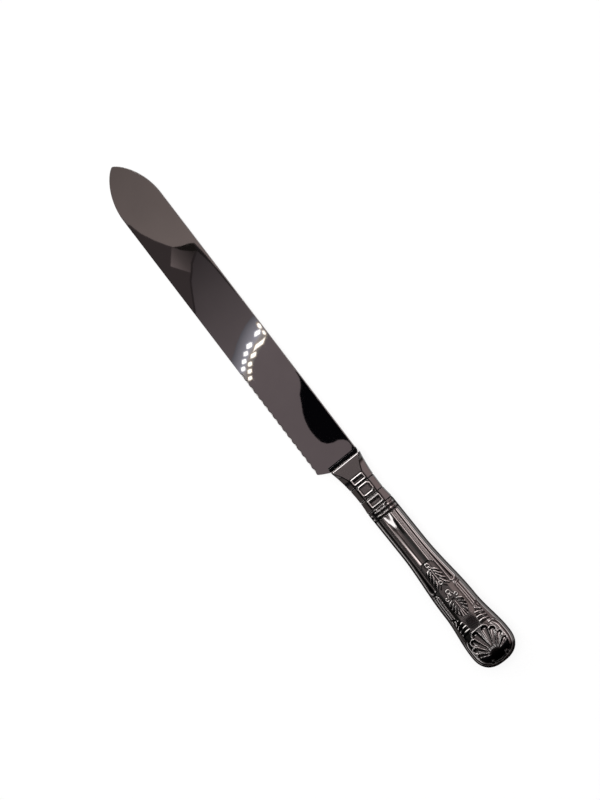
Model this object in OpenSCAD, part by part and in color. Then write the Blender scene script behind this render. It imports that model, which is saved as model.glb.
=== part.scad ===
// Cake knife with a stamped, hollow handle: a forged blade with its bolster and tang in one
// piece, two handle shells soldered together edge to edge, and the cement that holds the tang.
// +X runs to the handle's butt, +Y to the blade's spine and +Z out of the front face.
// The origin is the middle of the handle, on its axis, in the seam plane.

/* [Overall] */
// Length of the handle, from the bolster to the butt
handle_len = 117; // [100:1:145]
// Length of the blade, from the bolster's back to the point
blade_len = 173; // [130:1:220]
// Angle at which the blade is set to the handle's axis, towards the spine
blade_set = 1.4; // [0:0.1:3]

/* [Blade] */
// Width from the spine to the cutting edge
blade_w = 21.8; // [18:0.1:28]
// Thickness of the spine at the bolster
spine_t = 2; // [1.6:0.1:2.6]
// Thickness of the cutting edge at the heel
edge_t = 0.8; // [0.7:0.1:1.2]
// Thickness lost from the bolster to the point
distal_taper = 0.5; // [0:0.1:0.6]
// Width of the chamfers along the spine
spine_chamfer = 0.25; // [0.1:0.05:0.5]
// Distance of the spine below the bolster's top
spine_inset = 0.3; // [0.1:0.1:1]
// Length over which both sides curve in to the point
point_len = 23; // [15:1:45]
// Power of the point's curve, lower for a blunter point
point_power = 0.75; // [0.5:0.05:1]
// Distance of the heel's corner from the bolster's back
heel_set = 3.2; // [2:0.1:6]
// How far the heel's cut is hollowed
heel_hollow = 0.2; // [0:0.1:1]

/* [Serrations] */
// Number of scallops
scallop_count = 16; // [4:1:20]
// Distance from one scallop to the next
scallop_pitch = 3.65; // [3:0.05:5]
// Width of each scallop along the edge
scallop_w = 2.7; // [1.5:0.1:3]
// Height of each scallop on the blade's front, from the edge
scallop_depth = 0.55; // [0.2:0.05:0.8]
// Angle of the scallops' grind to the blade's face
scallop_angle = 55; // [30:1:65]
// Distance of the first scallop from the heel's corner
scallop_start = 2.2; // [1.6:0.1:8]

/* [Bolster and tang] */
// Width of the bolster's flat rim
bolster_rim = 0.3; // [0.3:0.1:1.5]
// Length of the hollow in which the blade swells into the bolster
bolster_hollow = 2.6; // [1.5:0.1:3.2]
// Length of the tang behind the bolster
tang_len = 62; // [40:1:66]
// Width of the tang at the bolster
tang_w = 7; // [5:0.1:8]
// Width of the tang at its end
tang_end_w = 4.6; // [3.5:0.1:5]
// Thickness of the tang
tang_t = 3; // [2:0.1:4]
// Radius of the notches that key the tang into the cement
notch_r = 0.9; // [0.5:0.1:1]

/* [Handle outline] */
// Width of the handle at the bolster
mouth_w = 16.4; // [14:0.1:20]
// Thickness of the handle at the bolster
mouth_t = 8; // [7:0.1:10]
// Distance of the neck's narrowest place from the bolster
neck_at = 17.7; // [14:0.1:19]
// Width of the neck at its narrowest
neck_w = 12.5; // [10.5:0.1:14]
// Thickness of the neck at its narrowest
neck_t = 8.4; // [7.5:0.1:10]
// Distance of the bands between neck and grip from the bolster
band_at = 26.4; // [25.9:0.1:27]
// Width of the grip
grip_w = 14; // [13:0.1:17]
// Thickness of the grip
grip_t = 9.8; // [9:0.1:12]
// Distance from the bolster at which the grip starts to widen
widen_at = 50; // [40:1:60]
// Distance of the shoulders from the bolster
shoulder_at = 84; // [78:1:86]
// Width at the shoulders
shoulder_w = 18; // [16:0.1:21]
// Distance of the widest place from the butt's end
butt_round = 11; // [9:0.1:12]
// Width of the butt
butt_w = 22; // [20:0.1:27]
// Thickness of the butt
butt_t = 12.4; // [11:0.1:15]

/* [Shells] */
// Wall of the stamped shells
wall = 1; // [0.8:0.1:1.4]
// Thickness of the solder between the two shells
solder_t = 0.2; // [0.1:0.05:0.4]
// Length of the cement filling
filling_len = 70; // [67:1:74]
// Bond line round the cement
bond_gap = 0.05; // [0.02:0.01:0.1]

/* [Neck panels and bands] */
// Width of the flat front of the neck
panel_w = 7.2; // [6:0.1:8]
// Starts of the three framed panels, from the bolster
panel_at = [8.1, 13, 20.4]; // [7:0.1:22]
// Lengths of the three framed panels
panel_len = [3.2, 5, 3.9]; // [2.5:0.1:5.5]
// Radius of the beads that frame the panels
frame_r = 0.34; // [0.2:0.02:0.45]
// Places of the cross grooves beside the panels, from the bolster
groove_at = [12.15, 19.3, 25.2]; // [11:0.05:26]
// Depth of the cross grooves
groove_depth = 0.3; // [0.1:0.05:0.5]
// Radius of the two bands round the neck
band_r = 0.55; // [0.3:0.05:0.7]
// Distance between the two bands
band_pitch = 2.1; // [1.5:0.1:2.4]

/* [Grip threads and dish] */
// Distance of the outer thread from the handle's outline
thread_inset = 1.6; // [1.2:0.1:2]
// Width of the loop that the outer thread makes with its neighbour
thread_loop_w = 1.7; // [1.2:0.1:2]
// Radius of the threads
thread_r = 0.4; // [0.25:0.05:0.5]
// Distance of the loops' round ends from the bolster
thread_end = 72.1; // [68:0.1:74]
// Width of the dished panel along the grip
dish_w = 4.6; // [3:0.1:5]
// Depth of the dished panel
dish_depth = 0.5; // [0.2:0.05:0.6]
// Distance of the dished panel's square end from the bolster
dish_end = 58.3; // [52:0.1:59]

/* [Husk, palmette and fronds] */
// Distance of the husk's bud from the bolster
husk_at = 60.5; // [60:0.1:63]
// Distance of the knot between husk and palmette from the bolster
knot_at = 76.1; // [75:0.1:78]
// Distance of the palmette's foot from the bolster
palmette_at = 79.9; // [79:0.1:81]
// Length of the palmette
palmette_len = 9.6; // [8:0.1:10]
// Petals on each side of the palmette
petal_count = 4; // [3:1:5]
// Radius of the petals at their tips
petal_r = 0.55; // [0.4:0.05:0.65]
// Radius of the stems and of the petals' thin ends
stem_r = 0.4; // [0.25:0.05:0.5]
// Radius of the knot and of the husk's bud
knot_r = 0.85; // [0.6:0.05:1]
// Width across the palmette's lowest petals
palmette_w = 8; // [6:0.1:9]
// Width of the plain field between the fronds
field_w = 5.6; // [4:0.1:7]
// Distance of the first frond from the bolster
frond_at = 89.7; // [89.5:0.1:91]
// Number of fronds on each side
frond_count = 5; // [3:1:6]
// Distance from one frond to the next
frond_pitch = 1.75; // [1.4:0.05:1.9]

/* [Shell] */
// Distance of the shell's hinge from the butt's end
hinge_at = 5.5; // [4:0.1:6]
// Length of the shell's middle flutes
shell_len = 14.4; // [11:0.1:15]
// Half the breadth of the shell across its lowest flutes
shell_breadth = 8.2; // [6:0.1:8.5]
// Flutes on each side of the shell's middle ridge
flute_count = 4; // [3:1:5]
// Depth of the flutes
flute_depth = 0.5; // [0.2:0.05:0.6]
// Radius of the bead round the shell
shell_bead_r = 0.32; // [0.2:0.02:0.4]
// Distance of the rim thread from the butt's outline
rim_inset = 2.2; // [1.8:0.1:2.6]

/* [Hidden] */

// The handle's datum planes along X
mouth_x = -handle_len / 2;
butt_at = handle_len - butt_round;
hinge_s = handle_len - hinge_at;

// The blade's lines in its own plane, before it is set to its angle
spine_y = mouth_w / 2 - spine_inset;
edge_y = spine_y - blade_w;
mid_y = spine_y - blade_w / 2;
half_lost = distal_taper / 2;
side_angle = atan((spine_t - edge_t) / 2 / blade_w);
taper_angle = atan(half_lost / blade_len);
scallop_reach = scallop_depth * sin(scallop_angle);
scallop_r = (pow(scallop_w / 2, 2) + pow(scallop_reach, 2)) / (2 * scallop_reach);

// Powers of the handle's rounded section and of the butt's rounded end
section_power = 2.6;
cap_power = 2.5;
// Height of the neck's side walls and half the front's width at the bolster, as parts of the whole
neck_side = 0.58;
mouth_flat = 0.9;
// Power and steps of the curve in which the bolster's hollow rises
hollow_power = 1.3;
hollow_steps = 8;
// Distance in front of the mouth at which the turned blade ends inside the bolster
root_in = 0.5;
// Steps round half the section, a multiple of six, and the sides of the beads
outer_steps = 12;
inner_steps = 6;
bead_sides = 6;
// Height of such a many-sided ball above its middle, and how deep a bead lies, as parts of its radius
ball_top = cos(180 / bead_sides);
bead_sink = 0.25;
cut_past = 1;

// Stations along the handle, closer together on the neck and in the rounded butt
function between(a, b, n) = [for (i = [1 : n]) a + (b - a) * i / n];
body_stations = concat(
    [0], between(0, neck_at, 4), between(neck_at, band_at - 1, 2), [band_at],
    [widen_at], between(widen_at, filling_len, 3), between(filling_len, shoulder_at, 2),
    between(shoulder_at, butt_at, 4)
);
cap_steps = 6;

// Smooth step from a to b
function ease(a, b, u) = a + (b - a) * u * u * (3 - 2 * u);
function clamp01(u) = max(0, min(1, u));

// Part of the section left at s in the rounded butt, whose end is d inside the outer end
function cap(s, d) =
    s <= butt_at ? 1 : pow(max(0, 1 - pow((s - butt_at) / (butt_round - d), cap_power)), 1 / cap_power);

// Half the handle's width at s from the bolster, d inside its surface
function plain_half_w(s) =
    s < neck_at ? (neck_w + (mouth_w - neck_w) * pow(1 - s / neck_at, 2)) / 2
    : s < band_at ? (neck_w + (grip_w - neck_w) * pow((s - neck_at) / (band_at - neck_at), 2)) / 2
    : s < widen_at ? grip_w / 2
    : s < shoulder_at ? ease(grip_w, shoulder_w, (s - widen_at) / (shoulder_at - widen_at)) / 2
    : ease(shoulder_w, butt_w, clamp01((s - shoulder_at) / (butt_at - shoulder_at))) / 2;
function half_w(s, d = 0) = (plain_half_w(s) - d) * cap(s, d);

// Half the handle's thickness at s from the bolster, d inside its surface
function plain_half_t(s) =
    s < neck_at ? ease(mouth_t, neck_t, s / neck_at) / 2
    : s < band_at ? ease(neck_t, grip_t, (s - neck_at) / (band_at - neck_at)) / 2
    : ease(grip_t, butt_t, clamp01((s - band_at) / (butt_at - band_at))) / 2;
function half_t(s, d = 0) = (plain_half_t(s) - d) * cap(s, d);

// How far the section is faceted at s: all of it on the neck, none of it from the bands on
function faceted(s) = clamp01(band_at - s);
// Half the width of the neck's flat front, as a part of half the whole width
function front_flat(s) =
    let (narrow = panel_w / 2 / plain_half_w(panel_at[0]))
    s < panel_at[0] ? mouth_flat + (narrow - mouth_flat) * s / panel_at[0]
    : min(mouth_flat, panel_w / 2 / plain_half_w(s));

// Point i of n on the rounded section and on the faceted one, from the side to the middle and on
function round_point(i, n) =
    let (a = 180 * i / n, c = cos(a), p = 2 / section_power)
    [sign(c) * pow(abs(c), p), pow(sin(a), p)];
function facet_point(i, n, f) =
    let (k = min(i, n - i) / n * 6, side = 2 * i < n ? 1 : 2 * i > n ? -1 : 0)
    k <= 1 ? [side, neck_side * k]
    : k <= 2 ? [side * (1 - (1 - f) * (k - 1)), neck_side + (1 - neck_side) * (k - 1)]
    : [side * f * (3 - k), 1];

// Half a ring of the section at s, d inside the surface, resting on the solder
function half_ring(s, d, n) =
    let (m = faceted(s), f = front_flat(s))
    [for (i = [0 : n])
        let (p = (1 - m) * round_point(i, n) + m * facet_point(i, n, f))
        [mouth_x + s, p[0] * half_w(s, d), solder_t / 2 + p[1] * half_t(s, d)]];
// The same ring with its two ends in the seam plane
function seam_ring(s, d, n) =
    let (h = half_ring(s, d, n))
    [for (i = [0 : n]) i == 0 || i == n ? [h[i][0], h[i][1], 0] : h[i]];

// Stations of the rounded butt, d inside its surface
function cap_stations(d) =
    [for (i = [1 : cap_steps]) butt_at + (butt_round - d) * sin(90 * min(i, cap_steps - 0.2) / cap_steps)];

// Height of the plain front above the seam plane
function crown(s, y) =
    let (
        m = faceted(s),
        f = front_flat(s),
        u = min(1, abs(y) / half_w(s)),
        rounded = pow(1 - pow(u, section_power), 1 / section_power),
        flat = u <= f ? 1 : neck_side + (1 - neck_side) * (1 - u) / (1 - f)
    )
    solder_t / 2 + half_t(s) * ((1 - m) * rounded + m * flat);

// Solid through a list of closed rings with as many points each
module loft(rings) {
    n = len(rings[0]);
    last = len(rings) - 1;
    polyhedron(
        points = [for (r = rings) each r],
        faces = concat(
            [[for (j = [0 : n - 1]) j]],
            [for (i = [0 : last - 1], j = [0 : n - 1]) [i * n + j, (i + 1) * n + j, i * n + (j + 1) % n]],
            [for (i = [0 : last - 1], j = [0 : n - 1])
                [i * n + (j + 1) % n, (i + 1) * n + j, (i + 1) * n + (j + 1) % n]],
            [[for (j = [n - 1 : -1 : 0]) last * n + j]]
        )
    );
}

// Half of the handle's solid, and the hollow inside it, open at the bolster and at the seam
module half_body() {
    loft([for (s = concat(body_stations, cap_stations(0))) half_ring(s, 0, outer_steps)]);
}
module half_hollow() {
    loft([for (s = concat(body_stations, cap_stations(wall))) half_ring(s, wall, inner_steps)]);
    mouth = half_ring(0, wall, inner_steps);
    translate([-cut_past, 0, 0]) loft([for (x = [0, cut_past]) [for (p = mouth) p + [x, 0, 0]]]);
}

// Beads that stand on the front surface, through points [s, y, radius]
module ball(p, lift) {
    translate([mouth_x + p[0], p[1], crown(p[0], p[1]) + lift]) sphere(p[2], $fn = bead_sides);
}
module bead(path) {
    for (i = [0 : len(path) - 2]) hull() {
        ball(path[i], -bead_sink * path[i][2]);
        ball(path[i + 1], -bead_sink * path[i + 1][2]);
    }
}
// Channels cut into the front surface, through points [s, y, radius], to one depth
module channel(path, depth) {
    for (i = [0 : len(path) - 2]) hull() {
        ball(path[i], ball_top * path[i][2] - depth);
        ball(path[i + 1], ball_top * path[i + 1][2] - depth);
    }
}
module both_sides() {
    children();
    mirror([0, 1, 0]) children();
}

// Framed panels of the neck, the middle one with cut corners, and the bands behind them
module panel_frames() {
    y = panel_w / 2 - frame_r;
    for (k = [0 : 2]) {
        a = panel_at[k];
        b = a + panel_len[k];
        c = panel_len[k] / 6;
        upper = k == 1 ? [[a, y - c], [a + c, y], [b - c, y], [b, y - c]] : [[a, y], [b, y]];
        lower = [for (i = [len(upper) - 1 : -1 : 0]) [upper[i][0], -upper[i][1]]];
        bead([for (p = concat(upper, lower, [upper[0]])) [p[0], p[1], frame_r]]);
    }
}
module neck_bands() {
    for (k = [0, 1]) {
        s = band_at + band_pitch * (k + 0.35);
        bead([for (u = [-1, -0.8, -0.4, 0.4, 0.8, 1]) [s, u * (half_w(s) - band_r), band_r]]);
    }
}
module cross_grooves() {
    for (s = groove_at) {
        f = front_flat(s);
        channel([for (u = [-1, -f, f, 1]) [s, u * half_w(s), groove_depth]], groove_depth);
    }
}

// Threads along the grip: on each side a long loop, then a short bar towards the butt
module grip_threads() {
    first = band_at + 2 * band_pitch;
    turn = thread_loop_w / 2;
    last = thread_end - turn;
    stations = concat([first], [for (i = [0 : 3]) widen_at + (last - widen_at) * i / 3]);
    both_sides() bead(concat(
        [for (s = stations) [s, half_w(s) - thread_inset, thread_r]],
        [for (a = [45 : 45 : 135])
            [last + turn * sin(a), half_w(last) - thread_inset - turn * (1 - cos(a)), thread_r]],
        [for (i = [4 : -1 : 0]) [stations[i], half_w(stations[i]) - thread_inset - thread_loop_w, thread_r]]
    ));
    both_sides() bead([for (s = [first, dish_end]) [s, dish_w / 2 + thread_r, thread_r]]);
    bar_start = thread_end + 1.4 * thread_loop_w;
    bar_end = palmette_at + 3 * palmette_len / 4;
    both_sides() for (k = [0, 1]) bead([for (i = [0 : 3])
        let (s = bar_start + (bar_end - bar_start) * i / 3)
        [s, half_w(s) - thread_inset - k * 3 * thread_r, thread_r]]);
}
// Dished panel along the grip, pointed towards the neck and square towards the butt
module dish() {
    first = band_at + 2 * band_pitch;
    lead = dish_w;
    r = (pow(dish_w / 2, 2) + pow(dish_depth, 2)) / (2 * dish_depth);
    module disc(s, radius) {
        translate([mouth_x + s, 0, crown(s, 0) + r - dish_depth])
            rotate([0, 90, 0]) cylinder(r = radius, h = 0.01, $fn = 64);
    }
    hull() {
        disc(first, r - dish_depth);
        disc(first + lead, r);
    }
    hull() {
        disc(first + lead, r);
        disc(dish_end, r);
    }
}

// Husk behind the dish, the knot, and the palmette that opens towards the butt
module husk() {
    reach = knot_at - husk_at - 5 * knot_r;
    bead([[husk_at, 0, knot_r], [husk_at + stem_r, 0, knot_r]]);
    bead([[husk_at + knot_r, 0, stem_r], [husk_at + reach, 0, knot_r]]);
    both_sides() for (k = [0 : 2]) {
        tip = [husk_at + reach * (2 + k) / 4, (9 + k) / 3 * knot_r];
        bead([
            [husk_at + knot_r * (1 + 2 * k), petal_r, stem_r],
            [tip[0] - 3 * petal_r, tip[1] * 0.6, petal_r],
            [tip[0], tip[1], petal_r]
        ]);
    }
}
module knot() {
    bead([[knot_at - stem_r, 0, knot_r], [knot_at + stem_r, 0, knot_r]]);
    scroll = knot_r * 3;
    both_sides() bead([
        [knot_at + scroll / 3, scroll / 2, stem_r],
        [knot_at + scroll, scroll, petal_r],
        [knot_at + scroll * 4 / 3, scroll * 0.8, stem_r]
    ]);
}
module palmette() {
    last = petal_count - 1;
    inner = 1.6 * petal_r;
    bead([[palmette_at, 0, petal_r], [palmette_at + palmette_len * 0.6, 0, stem_r]]);
    both_sides() for (k = [0 : last]) {
        u = k / last;
        tip = [
            palmette_at + palmette_len * ease(0.36, 1, u),
            inner + (palmette_w / 2 - inner) * sqrt(1 - u * u)
        ];
        bead([
            [palmette_at + stem_r, stem_r, stem_r],
            [palmette_at + (tip[0] - palmette_at) * 0.62, tip[1] / 2, petal_r],
            [tip[0], tip[1], petal_r * 1.1]
        ]);
    }
}
// Fronds that close in round the plain field between palmette and shell
module fronds() {
    both_sides() for (k = [0 : frond_count - 1]) {
        u = k / (frond_count - 1);
        s = frond_at + frond_pitch * k;
        inner = (field_w + palmette_w / 2 * (1 - sin(150 * u))) / 2;
        lean = frond_pitch * (1 - u);
        bead([[s, inner, petal_r], [s + lean, half_w(s) - rim_inset, stem_r]]);
    }
}

// Scallop shell on the butt: flutes fan out from the hinge, with a bead round their ends.
// Angles of the first and last flute, and half a flute's width as a part of its reach
first_flute = 9;
last_flute = 65;
flute_breadth = 0.115;
spoon_sides = 8;
function flute_angle(k) = first_flute + (last_flute - first_flute) * k / (flute_count - 1);
function flute_reach(k) =
    let (a = flute_angle(k))
    1 / sqrt(pow(cos(a) / shell_len, 2) + pow(sin(a) / shell_breadth, 2));
function flute_half_w(k) = flute_reach(k) * flute_breadth;
function flute_point(k, u) =
    let (a = flute_angle(k), d = flute_reach(k) - flute_half_w(k))
    [hinge_s - u * d * cos(a), u * d * sin(a)];
module flutes() {
    module spoon(k, u, half, depth) {
        p = flute_point(k, u);
        r = (pow(half, 2) + pow(depth, 2)) / (2 * depth);
        translate([mouth_x + p[0], p[1], crown(p[0], p[1]) + r - depth])
            sphere(r / cos(180 / spoon_sides), $fn = spoon_sides);
    }
    both_sides() for (k = [0 : flute_count - 1]) hull() {
        spoon(k, 0.25, flute_half_w(k) / 3, flute_depth / 2);
        spoon(k, 1, flute_half_w(k), flute_depth);
    }
}
module shell_bead() {
    both_sides() for (k = [0 : flute_count - 1]) {
        end = flute_point(k, 1);
        r = flute_half_w(k) + shell_bead_r;
        a = flute_angle(k);
        bead([for (b = [a - 75 : 50 : a + 75]) [end[0] - r * cos(b), end[1] + r * sin(b), shell_bead_r]]);
    }
    both_sides() bead([[hinge_s + knot_r, 4 * knot_r, knot_r], [hinge_s + petal_r, 5 * knot_r, petal_r]]);
}
module rim_thread() {
    first = frond_at + 2 * frond_pitch;
    stations = concat([first, (first + butt_at) / 2, butt_at], cap_stations(rim_inset));
    both_sides() bead(concat(
        [for (s = stations) [s, half_w(s, rim_inset), thread_r]],
        [[handle_len - rim_inset, 0, thread_r]]
    ));
}

// One stamped shell, seam down, mouth towards the blade
module half_shell() {
    difference() {
        union() {
            half_body();
            panel_frames();
            neck_bands();
            grip_threads();
            husk();
            knot();
            palmette();
            fronds();
            shell_bead();
            rim_thread();
        }
        half_hollow();
        cross_grooves();
        dish();
        flutes();
    }
}

// The blade's outline, point towards -X
function point_curve(a) = [
    mouth_x - blade_len + point_len * (1 - sin(a)),
    blade_w / 2 * pow(cos(a), 2 * point_power)
];
module blade_outline() {
    steps = 16;
    root_x = mouth_x - root_in;
    low_y = -mouth_w / 2 + spine_inset;
    heel = [mouth_x - heel_set, edge_y];
    polygon(concat(
        [[root_x, spine_y]],
        [for (i = [0 : steps]) let (p = point_curve(90 * i / steps)) [p[0], mid_y + p[1]]],
        [for (i = [steps - 1 : -1 : 0]) let (p = point_curve(90 * i / steps)) [p[0], mid_y - p[1]]],
        [for (i = [0 : 8])
            let (u = i / 8, hollow = 4 * heel_hollow * u * (1 - u))
            [heel[0] + (root_x - heel[0]) * u - hollow, heel[1] + (low_y - heel[1]) * u + hollow]]
    ));
}
// Everything in front of the blade's ground side
module beyond_side() {
    size = 3 * blade_len;
    translate([mouth_x, spine_y, spine_t / 2])
        rotate([side_angle, 0, 0])
        rotate([0, -taper_angle, 0])
        translate([-size / 2, -size / 2, 0]) cube(size);
}
module scallops() {
    for (k = [0 : scallop_count - 1]) {
        u = heel_set + scallop_start + scallop_pitch * k;
        back_z = half_lost * u / blade_len - edge_t / 2;
        translate([mouth_x - u, edge_y + scallop_depth - edge_t / tan(scallop_angle), back_z])
            rotate([scallop_angle, 0, 0])
            translate([0, 0, scallop_r])
            rotate([90, 0, 0]) cylinder(r = scallop_r, h = 4 * blade_w / 3, center = true, $fn = 64);
    }
}
module set_blade() {
    chamfer_side = spine_chamfer * sqrt(2);
    translate([mouth_x, 0, 0]) rotate([0, 0, -blade_set]) translate([-mouth_x, 0, 0]) difference() {
        linear_extrude(spine_t, center = true) blade_outline();
        beyond_side();
        mirror([0, 0, 1]) beyond_side();
        scallops();
        for (z = [-1, 1]) translate([mouth_x - blade_len / 2, spine_y, z * spine_t / 2])
            rotate([45, 0, 0]) cube([2 * blade_len, chamfer_side, chamfer_side], center = true);
    }
}
module bolster() {
    depth = bolster_rim + bolster_hollow;
    sunk = 0.1;
    foot_z = spine_t / 2 - sunk;
    rise = half_t(0) + solder_t / 2 - foot_z;
    upper = seam_ring(0, 0, outer_steps);
    outline = concat(
        [for (p = upper) [p[1], p[2]]],
        [for (i = [outer_steps - 1 : -1 : 1]) [upper[i][1], -upper[i][2]]]
    );
    difference() {
        translate([mouth_x, 0, 0]) rotate([90, 0, -90])
            mirror([1, 0, 0]) linear_extrude(depth) polygon(outline);
        for (m = [0, 1]) mirror([0, 0, m]) translate([mouth_x, spine_y, foot_z])
            rotate([side_angle, 0, 0]) rotate([90, 0, 0]) linear_extrude(6 * mouth_w, center = true)
            polygon(concat(
                [[-2 * depth, 2 * mouth_t], [-2 * depth, 0]],
                [for (i = [0 : hollow_steps])
                    let (u = i / hollow_steps)
                    [-depth + bolster_hollow * u, rise * pow(u, hollow_power)]],
                [[-bolster_rim, 2 * mouth_t]]
            ));
    }
}
module tang(gap = 0) {
    w = tang_w / 2 + gap;
    e = tang_end_w / 2 + gap;
    start = mouth_x - bolster_rim / 2;
    end = mouth_x + tang_len + gap;
    difference() {
        linear_extrude(tang_t + 2 * gap, center = true)
            polygon([[start, -w], [end, -e], [end, e], [start, w]]);
        for (side = [-1, 1], k = [1, 2, 3])
            translate([mouth_x + tang_len * k / 4, side * (tang_w + (tang_end_w - tang_w) * k / 4) / 2, 0])
            cylinder(r = notch_r - gap, h = tang_t + 2 * cut_past, center = true, $fn = 32);
    }
}

module blade() {
    color("silver") union() {
        set_blade();
        bolster();
        tang();
    }
}
module handle_front_shell() {
    color("gainsboro") half_shell();
}
module handle_back_shell() {
    color("gainsboro") mirror([0, 0, 1]) half_shell();
}
module solder_seam() {
    function outline(d) =
        let (h = [for (s = concat(body_stations, cap_stations(d))) [mouth_x + s, half_w(s, d)]])
        concat(h, [for (i = [len(h) - 1 : -1 : 0]) [h[i][0], -h[i][1]]]);
    color("darkgray") linear_extrude(solder_t, center = true) difference() {
        polygon(outline(0));
        polygon(outline(wall));
        translate([mouth_x - cut_past, -half_w(0, wall)]) square([2 * cut_past, 2 * half_w(0, wall)]);
    }
}
module cement_filling() {
    stations = [for (s = body_stations) if (s <= filling_len) s];
    color("tan") difference() {
        for (m = [0, 1]) mirror([0, 0, m])
            loft([for (s = stations) seam_ring(s, wall + bond_gap, inner_steps)]);
        tang(bond_gap);
    }
}

blade();
handle_front_shell();
handle_back_shell();
solder_seam();
cement_filling();
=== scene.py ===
"""Looks of the cake knife: a stamped handle in relief, a polished serrated blade and its bolster."""

import math

import bpy
from mathutils import Matrix, Vector


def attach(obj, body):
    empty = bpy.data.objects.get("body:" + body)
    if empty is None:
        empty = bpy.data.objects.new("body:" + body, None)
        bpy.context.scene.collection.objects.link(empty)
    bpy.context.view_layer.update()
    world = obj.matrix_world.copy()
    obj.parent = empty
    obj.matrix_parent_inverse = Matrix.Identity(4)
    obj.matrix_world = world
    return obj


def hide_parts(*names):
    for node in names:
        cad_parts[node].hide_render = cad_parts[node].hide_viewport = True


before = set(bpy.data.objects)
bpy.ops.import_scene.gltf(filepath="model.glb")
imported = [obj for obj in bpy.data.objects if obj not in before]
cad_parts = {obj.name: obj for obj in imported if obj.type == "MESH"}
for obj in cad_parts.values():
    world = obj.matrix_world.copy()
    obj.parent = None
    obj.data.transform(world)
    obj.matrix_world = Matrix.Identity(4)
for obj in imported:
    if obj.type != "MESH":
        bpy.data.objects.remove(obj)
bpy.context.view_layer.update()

# Sizes are in millimetres, as in the CAD model; the trees end by turning them into metres
MM = 0.001
HANDLE = {
    "Length": 117.0,
    "Mouth width": 16.4,
    "Mouth thickness": 8.0,
    "Neck place": 17.7,
    "Neck width": 12.5,
    "Neck thickness": 8.4,
    "Band place": 26.4,
    "Grip width": 14.0,
    "Grip thickness": 9.8,
    "Widening place": 50.0,
    "Shoulder place": 84.0,
    "Shoulder width": 18.0,
    "Butt round": 11.0,
    "Butt width": 22.0,
    "Butt thickness": 12.4,
    "Seam": 0.2,
    "Rolled edge": 0.42,
    "Roll slope": 0.16,
    "Panel place": 8.1,
    "Panel width": 7.2,
    "Dish start": 30.6,
    "Dish lead": 12.5,
    "Dish end": 58.7,
    "Dish middle": -0.2,
    "Dish width": 4.5,
    "Dish depth": 0.65,
}
MOUTH_PLACE = -HANDLE["Length"] / 2
BLADE = {
    "Mouth place": MOUTH_PLACE,
    "Length": 172.99,
    "Width": 21.78,
    "Spine height": 7.885,
    "Spine thickness": 2.0,
    "Edge thickness": 0.8,
    "Taper": 0.5,
    "Point length": 23.0,
    "Heel place": 3.2,
    "Set angle": math.radians(-1.4),
    "Scallop count": 16.0,
    "Scallop pitch": 3.65,
    "Scallop width": 2.7,
    "Scallop depth": 0.55,
    "Scallop start": 5.4,
    "Scallop slope": math.tan(math.radians(55)),
}
BOLSTER = {
    "Mouth place": MOUTH_PLACE,
    "Width": HANDLE["Mouth width"],
    "Thickness": HANDLE["Mouth thickness"],
    "Seam": HANDLE["Seam"],
    "Rim": 0.3,
    "Hollow": 2.6,
    "Hollow power": 1.5,
    "Spine height": 7.9,
    "Spine level": 0.9,
    "Side slope": 0.0275,
}
# Each half of the handle is grown in three lengths, with close columns where the relief is worked
NECK = {
    "Columns": 311,
    "Rows": 145,
    "First": 0.0,
    "Plain length": 0.0,
    "Worked length": 30.7,
    "Round length": 0.0,
    "Plain share": 0.0,
    "Worked share": 1.0,
}
GRIP = {
    "Columns": 301,
    "Rows": 261,
    "First": 30.7,
    "Plain length": 27.3,
    "Worked length": 20.0,
    "Round length": 0.0,
    "Plain share": 0.3,
    "Worked share": 1.0,
}
BUTT = {
    "Columns": 331,
    "Rows": 281,
    "First": 78.0,
    "Plain length": 0.0,
    "Worked length": 28.0,
    "Round length": 10.983,
    "Plain share": 0.0,
    "Worked share": 0.7,
}
# Powers and shares of the handle's sections, the limit for joining points and the angle of a sharp edge
SECTION_POWER = 2.6
CAP_POWER = 2.5
NECK_SIDE = 0.58
RIDGE_ROUND = 0.05
MOUTH_FLAT = 0.96
MERGE = 0.002
SHARP = math.radians(80)


class Socket:
    """An output socket in Python expressions: each operator adds a Math node."""

    def __init__(self, graph, socket):
        self.graph = graph
        self.socket = socket

    def __getitem__(self, name):
        return Socket(self.graph, self.socket.node.outputs[name])

    def math(self, operation, *values):
        return self.graph.add("ShaderNodeMath", {"operation": operation}, dict(enumerate(values)))

    def __add__(self, other):
        return self.math("ADD", self, other)

    def __radd__(self, other):
        return self.math("ADD", other, self)

    def __sub__(self, other):
        return self.math("SUBTRACT", self, other)

    def __rsub__(self, other):
        return self.math("SUBTRACT", other, self)

    def __mul__(self, other):
        return self.math("MULTIPLY", self, other)

    def __rmul__(self, other):
        return self.math("MULTIPLY", other, self)

    def __truediv__(self, other):
        return self.math("DIVIDE", self, other)

    def __rtruediv__(self, other):
        return self.math("DIVIDE", other, self)

    def __pow__(self, other):
        return self.math("POWER", self, other)

    def __neg__(self):
        return self.math("SUBTRACT", 0.0, self)

    def __abs__(self):
        return self.math("ABSOLUTE", self)

    def most(self, other):
        return self.math("MAXIMUM", self, other)

    def least(self, other):
        return self.math("MINIMUM", self, other)

    def above(self, level):
        return self.math("GREATER_THAN", self, level)

    def part(self):
        """The value held between 0 and 1."""
        return self.most(0).least(1)

    def ramp(self, start, end):
        """0 up to the start value, 1 from the end value on, and even in between."""
        return ((self - start) / (end - start)).part()

    def eased(self):
        """The value held between 0 and 1, with a smooth start and end."""
        u = self.part()
        return u * u * (3 - 2 * u)

    def sine(self):
        return self.math("SINE", self)

    def sign(self):
        return self.math("SIGN", self)

    def split(self):
        """The three parts of a vector."""
        parts = self.graph.add("ShaderNodeSeparateXYZ", {}, {"Vector": self})
        return parts["X"], parts["Y"], parts["Z"]


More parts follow.
